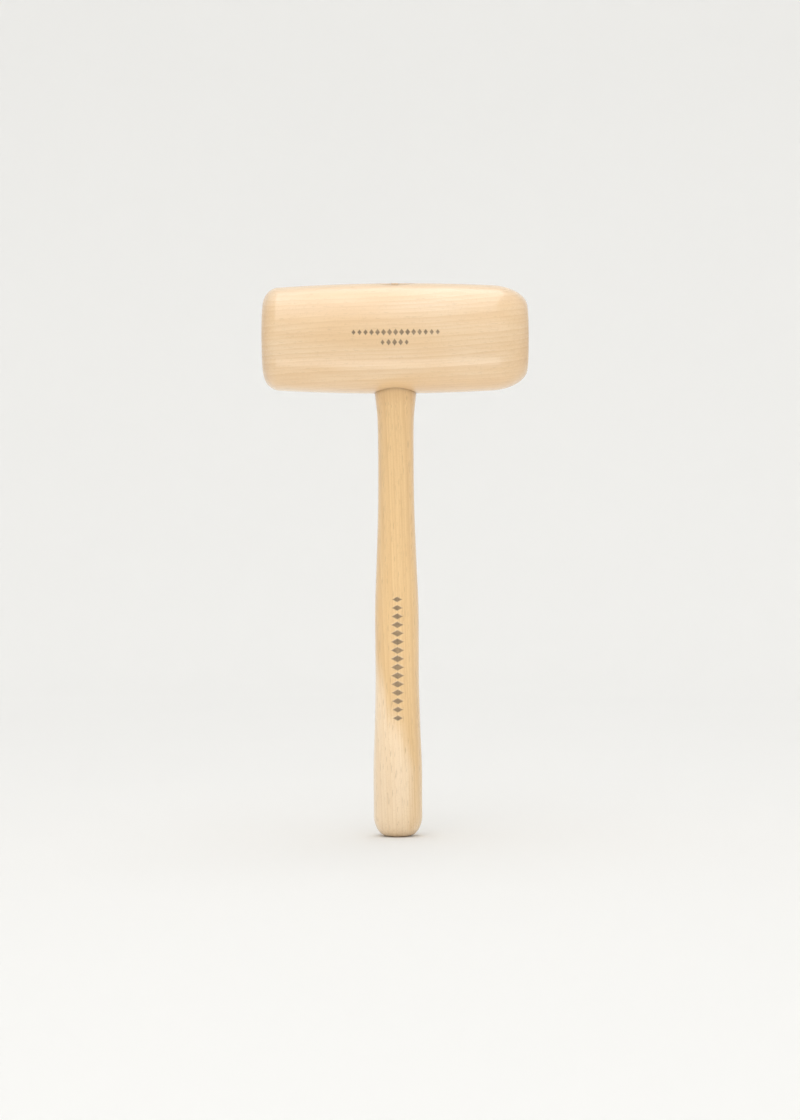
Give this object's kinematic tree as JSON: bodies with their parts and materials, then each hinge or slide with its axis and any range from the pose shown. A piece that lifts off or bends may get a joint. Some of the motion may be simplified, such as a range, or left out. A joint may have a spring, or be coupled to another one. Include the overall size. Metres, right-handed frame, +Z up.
{
  "type": "wooden mallet",
  "caption": "Round-headed wooden mallet: a barrel-turned head on a turned handle that passes through it and is wedged at the top.",
  "frame": {"origin": "middle of the flat on the handle's butt, the lowest point of the mallet when it is held upright", "axes": "+Z up the handle to the head, X along the head from one striking face to the other, Y across the head"},
  "size_m": [0.1524, 0.0634, 0.3185],
  "materials": {
    "head_wood": "pale close-grained hardwood, sanded and lacquered to a satin sheen",
    "handle_wood": "straight-grained hickory, sanded and lacquered to a satin sheen",
    "wedge_wood": "bare hardwood end grain, sanded flush"
  },
  "bodies": {
    "root": {"handle": "handle_wood", "head": "head_wood", "wedge": "wedge_wood"}
  },
  "joints": []
}
